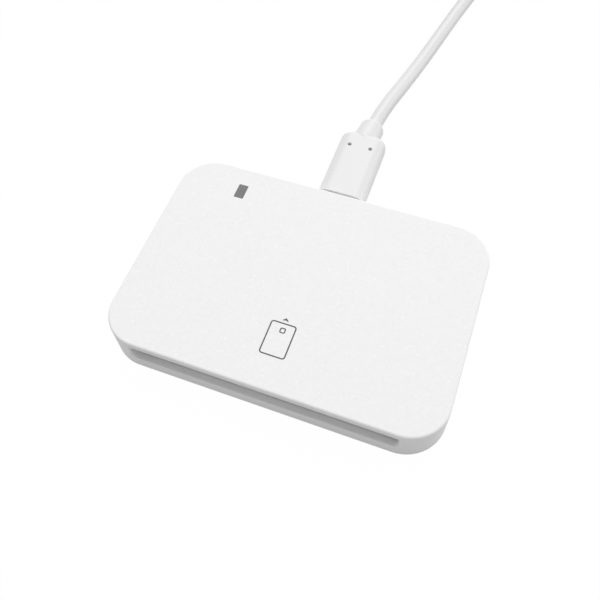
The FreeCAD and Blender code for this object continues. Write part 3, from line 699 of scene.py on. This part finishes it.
def coil_tracks(cable):
    """Radius and height of each turn: inwards along the lower row, up, and outwards over it."""
    step = cable.diameter
    # The upper turns lie in the hollows of the lower row.
    rise = step * math.sin(math.radians(60))
    first = cable.coil_radius + (cable.lower_turns - 1) * step / 2
    tracks = [(first - turn * step, cable.coil_low) for turn in range(cable.lower_turns)]
    inner = tracks[-1][0] + step / 2
    upper = [(inner + turn * step, cable.coil_low + rise) for turn in range(cable.lower_turns - 1)]
    return tracks + upper


def coil_points(cable, leave):
    """Control points of the coil: each turn eases into the next, and the last to where the tail leaves."""
    tracks = coil_tracks(cable) + [leave]
    climb = cable.lower_turns - 1
    # The curve runs inside its control points by this much.
    stretch = 1 / math.cos(math.pi / cable.turn_points)
    # Share of a turn that the change of track takes, at its end, or a quarter turn earlier on the climb.
    change = 1 / 4
    points = []
    for turn, ((radius, height), (next_radius, next_height)) in enumerate(zip(tracks, tracks[1:])):
        ease_from = 1 - 2 * change if turn == climb else 1 - change
        for step in range(cable.turn_points):
            share = step / cable.turn_points
            ease = smooth_step((share - ease_from) / change)
            bearing = cable.coil_start + 2 * math.pi * share
            reach = stretch * (radius + (next_radius - radius) * ease)
            points.append((
                cable.coil_x + reach * math.cos(bearing),
                cable.coil_y + reach * math.sin(bearing),
                height + (next_height - height) * ease,
            ))
    return points


class CARDREADER_OT_cable(bpy.types.Operator):
    """Lay the cord from the plug through its coil to the host plug"""

    bl_idname = "cardreader.cable"
    bl_label = "Cable"

    def execute(self, context):
        cable = context.scene.card_reader_cable
        finish = context.scene.card_reader_finish
        start = Vector(TAIL_ROUTE[0])
        leave = (math.hypot(start.x - cable.coil_x, start.y - cable.coil_y), start.z)
        route = CORD_ROUTE + coil_points(cable, leave) + TAIL_ROUTE
        line = bpy.data.curves.new("cable_cord_line", "CURVE")
        line.dimensions = "3D"
        spline = line.splines.new("NURBS")
        spline.points.add(len(route) - 1)
        for point, place in zip(spline.points, route):
            point.co = (*place, 1.0)
        spline.order_u = 3
        spline.use_endpoint_u = True
        spline.resolution_u = 10
        line.bevel_depth = cable.diameter / 2
        line.bevel_resolution = 6
        line.use_fill_caps = True
        cord = bpy.data.objects.new("cable_cord_line", line)
        context.scene.collection.objects.link(cord)
        line.materials.append(soft_pvc("pvc_jacket", finish.jacket, ripple=finish.peel, roughness=0.42))
        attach(cord, CABLE)
        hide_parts("cable_cord", "cable_coil", "cable_tail")
        on_cord = [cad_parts[name] for name in (
            "plug_overmould", "plug_shell", "plug_insert",
            "host_plug_overmould", "host_plug_shell", "host_plug_tongue",
        )]
        on_cord += [bpy.data.objects["host_plug_contacts"], bpy.data.objects["coil_strap"]]
        return {"FINISHED"}


def strap_section(cable, grow, steps=6):
    """Outline round the bundle of turns, as radius and height, grown past the turns."""
    tracks = coil_tracks(cable)
    low_in, low_out = tracks[cable.lower_turns - 1], tracks[0]
    high_in, high_out = tracks[cable.lower_turns], tracks[-1]
    reach = cable.diameter / 2 + grow
    # The strap bends round each corner turn between two angles, in degrees.
    arcs = ((low_in, 150, 270), (low_out, 270, 390), (high_out, 30, 90), (high_in, 90, 150))
    points = []
    for (radius, height), turn_from, turn_to in arcs:
        for step in range(steps + 1):
            turn = math.radians(turn_from + (turn_to - turn_from) * step / steps)
            points.append((radius + reach * math.cos(turn), height + reach * math.sin(turn)))
    return points


class CARDREADER_OT_coil_strap(bpy.types.Operator):
    """Wrap the strap round the coil, its free end lying over itself"""

    bl_idname = "cardreader.coil_strap"
    bl_label = "Coil strap"

    def execute(self, context):
        cable = context.scene.card_reader_cable
        finish = context.scene.card_reader_finish
        shape = bmesh.new()
        threads = shape.loops.layers.uv.new("threads")
        thick = cable.strap_thickness
        under = strap_section(cable, cable.strap_fit)
        over = strap_section(cable, cable.strap_fit + thick)
        self.add_band(shape, threads, under, over, cable, ring=True)
        lift = cable.strap_fit + thick + cable.strap_lap
        # The free end lies over the second three eighths of the outline.
        share = 3 * len(over) // 8
        free_under = strap_section(cable, lift)[share:2 * share]
        free_over = strap_section(cable, lift + thick)[share:2 * share]
        self.add_band(shape, threads, free_under, free_over, cable, ring=False)
        mesh = to_mesh("coil_strap", shape)
        nylon = woven_nylon("nylon_loop_strap", finish.strap, finish.threads)
        strap = add_piece("coil_strap", mesh, nylon, CABLE)
        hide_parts("coil_tie")
        return {"FINISHED"}

    def add_band(self, shape, threads, under, over, cable, ring):
        """Adds a band between two outlines, a ring or one with two ends, with millimetres as its UV map."""
        radial = Vector((math.cos(cable.strap_place), math.sin(cable.strap_place), 0))
        tangent = Vector((-radial.y, radial.x, 0))
        middle = Vector((cable.coil_x, cable.coil_y, 0))
        rows = []
        for side in (-0.5, 0.5):
            for outline in (under, over):
                rows.append([
                    shape.verts.new(
                        middle + radial * reach + Vector((0, 0, z)) + tangent * (side * cable.strap_width)
                    )
                    for reach, z in outline
                ])
        along = [0.0]
        for place, following in zip(over, over[1:] + over[:1]):
            along.append(along[-1] + math.dist(place, following))
        spans = len(over) if ring else len(over) - 1
        wide = cable.strap_width / MM
        high = cable.strap_thickness / MM
        # Each wall lies between two rows, and its threads between two places across the UV map.
        walls = (
            (1, 3, 0.0, wide),
            (3, 2, wide, wide + high),
            (2, 0, wide + high, 2 * wide + high),
            (0, 1, -high, 0.0),
        )
        for first_row, next_row, v_from, v_to in walls:
            one, other = rows[first_row], rows[next_row]
            for number in range(spans):
                after = (number + 1) % len(over)
                face = shape.faces.new((one[number], other[number], other[after], one[after]))
                u_from, u_to = along[number] / MM, along[number + 1] / MM
                corners = ((u_from, v_from), (u_from, v_to), (u_to, v_to), (u_to, v_from))
                for loop, corner in zip(face.loops, corners):
                    loop[threads].uv = corner
        if not ring:
            for end in (0, -1):
                shape.faces.new([rows[number][end] for number in (0, 1, 3, 2)])


def soft_lamp(name, place, target, side, watts):
    """Square area lamp that faces a target."""
    lamp = bpy.data.lights.new(name, "AREA")
    lamp.shape = "SQUARE"
    lamp.size = side
    lamp.energy = watts
    holder = bpy.data.objects.new(name, lamp)
    holder.location = place
    holder.rotation_euler = (Vector(target) - Vector(place)).to_track_quat("-Z", "Y").to_euler()
    bpy.context.scene.collection.objects.link(holder)


def seen_ray(tree):
    """One where the camera, a reflection or glass looks, nothing where light is gathered."""
    path = add_node(tree, "ShaderNodeLightPath")
    direct = add_node(
        tree, "ShaderNodeMath", {"operation": "MAXIMUM"},
        links={0: path.outputs["Is Camera Ray"], 1: path.outputs["Is Glossy Ray"]},
    )
    seen = add_node(
        tree, "ShaderNodeMath", {"operation": "MAXIMUM"},
        links={0: direct.outputs["Value"], 1: path.outputs["Is Transmission Ray"]},
    )
    return seen.outputs["Value"]


class CARDREADER_OT_stage(bpy.types.Operator):
    """Set the floor, the light and the camera"""

    bl_idname = "cardreader.stage"
    bl_label = "Stage"

    def execute(self, context):
        stage = context.scene.card_reader_stage
        context.scene.view_settings.view_transform = "Standard"
        self.add_floor(context, stage)
        self.add_sky(context, stage)
        soft_lamp("key_lamp", stage.key_place, stage.lamp_target, stage.key_size, stage.key)
        soft_lamp("left_lamp", stage.left_place, stage.lamp_target, stage.side_size, stage.left)
        soft_lamp("right_lamp", stage.right_place, stage.lamp_target, stage.side_size, stage.right)
        self.add_camera(context, stage)
        return {"FINISHED"}

    def add_floor(self, context, stage):
        """Lays the paper under the feet."""
        shape = bmesh.new()
        drop = Matrix.Translation((0, 0, -stage.floor_drop))
        bmesh.ops.create_grid(shape, x_segments=1, y_segments=1, size=stage.floor_side / 2, matrix=drop)
        mesh = bpy.data.meshes.new("floor")
        shape.to_mesh(mesh)
        shape.free()
        floor = bpy.data.objects.new("floor", mesh)
        context.scene.collection.objects.link(floor)
        mesh.materials.append(self.paper(stage))

    def paper(self, stage):
        """White paper sweep: plain white with a light shadow, and darker in the light that it sends up."""
        material, tree = new_material("paper_sweep_white")
        bounce = add_node(tree, "ShaderNodeBsdfDiffuse", values={"Color": stage.floor_bounce})
        shaded = add_node(tree, "ShaderNodeBsdfDiffuse", values={"Color": WHITE})
        white = add_node(tree, "ShaderNodeEmission", values={"Color": WHITE, "Strength": 1.0})
        shown = add_node(
            tree, "ShaderNodeMixShader", values={"Fac": stage.floor_white},
            links={1: shaded.outputs["BSDF"], 2: white.outputs["Emission"]},
        )
        both = add_node(
            tree, "ShaderNodeMixShader",
            links={"Fac": seen_ray(tree), 1: bounce.outputs["BSDF"], 2: shown.outputs["Shader"]},
        )
        add_node(tree, "ShaderNodeOutputMaterial", links={"Surface": both.outputs["Shader"]})
        return material

    def add_sky(self, context, stage):
        """Fills the room with even light, plain white where it is seen."""
        world = bpy.data.worlds.new("studio")
        world.use_nodes = True
        tree = world.node_tree
        tree.nodes.clear()
        fill = add_node(tree, "ShaderNodeBackground", values={"Color": WHITE, "Strength": stage.sky})
        white = add_node(tree, "ShaderNodeBackground", values={"Color": WHITE, "Strength": 1.0})
        both = add_node(
            tree, "ShaderNodeMixShader",
            links={"Fac": seen_ray(tree), 1: fill.outputs["Background"], 2: white.outputs["Background"]},
        )
        add_node(tree, "ShaderNodeOutputWorld", links={"Surface": both.outputs["Shader"]})
        context.scene.world = world

    def add_camera(self, context, stage):
        """Sets the camera where the photograph was taken from."""
        data = bpy.data.cameras.new("camera")
        data.lens = stage.lens
        data.clip_start = stage.camera_near
        camera = bpy.data.objects.new("camera", data)
        look = Vector(stage.camera_target) - Vector(stage.camera_place)
        turn = look.to_track_quat("-Z", "Y") @ Quaternion((0, 0, 1), -stage.camera_roll)
        camera.matrix_world = Matrix.Translation(stage.camera_place) @ turn.to_matrix().to_4x4()
        context.scene.collection.objects.link(camera)
        context.scene.camera = camera


class CARDREADER_PT_build(bpy.types.Panel):
    """Steps and settings of the reader"""

    bl_label = "Card Reader"
    bl_idname = "CARDREADER_PT_build"
    bl_space_type = "VIEW_3D"
    bl_region_type = "UI"
    bl_category = "Card Reader"

    def draw(self, context):
        for step in STEPS:
            self.layout.operator(step.bl_idname)
        for name, group in SETTINGS.items():
            box = self.layout.box()
            settings = getattr(context.scene, name)
            for key in group.__annotations__:
                box.prop(settings, key)


SETTINGS = {
    "card_reader_finish": CardReaderFinish,
    "card_reader_sign": CardReaderSign,
    "card_reader_cable": CardReaderCable,
    "card_reader_contacts": CardReaderContacts,
    "card_reader_stage": CardReaderStage,
}
STEPS = (
    CARDREADER_OT_stage,
    CARDREADER_OT_case,
    CARDREADER_OT_electronics,
    CARDREADER_OT_card_sign,
    CARDREADER_OT_plugs,
    CARDREADER_OT_coil_strap,
    CARDREADER_OT_cable,
)


def register():
    """Adds the settings, the steps and the panel to Blender."""
    for kind in (*SETTINGS.values(), *STEPS, CARDREADER_PT_build):
        bpy.utils.register_class(kind)
    for name, group in SETTINGS.items():
        setattr(bpy.types.Scene, name, PointerProperty(type=group))


def unregister():
    """Takes them out again."""
    for name in SETTINGS:
        delattr(bpy.types.Scene, name)
    for kind in reversed((*SETTINGS.values(), *STEPS, CARDREADER_PT_build)):
        bpy.utils.unregister_class(kind)


def main():
    """Runs the steps in order."""
    register()
    bpy.ops.cardreader.stage()
    bpy.ops.cardreader.case()
    bpy.ops.cardreader.electronics()
    bpy.ops.cardreader.card_sign()
    bpy.ops.cardreader.plugs()
    bpy.ops.cardreader.coil_strap()
    bpy.ops.cardreader.cable()


if __name__ == "__main__":
    main()
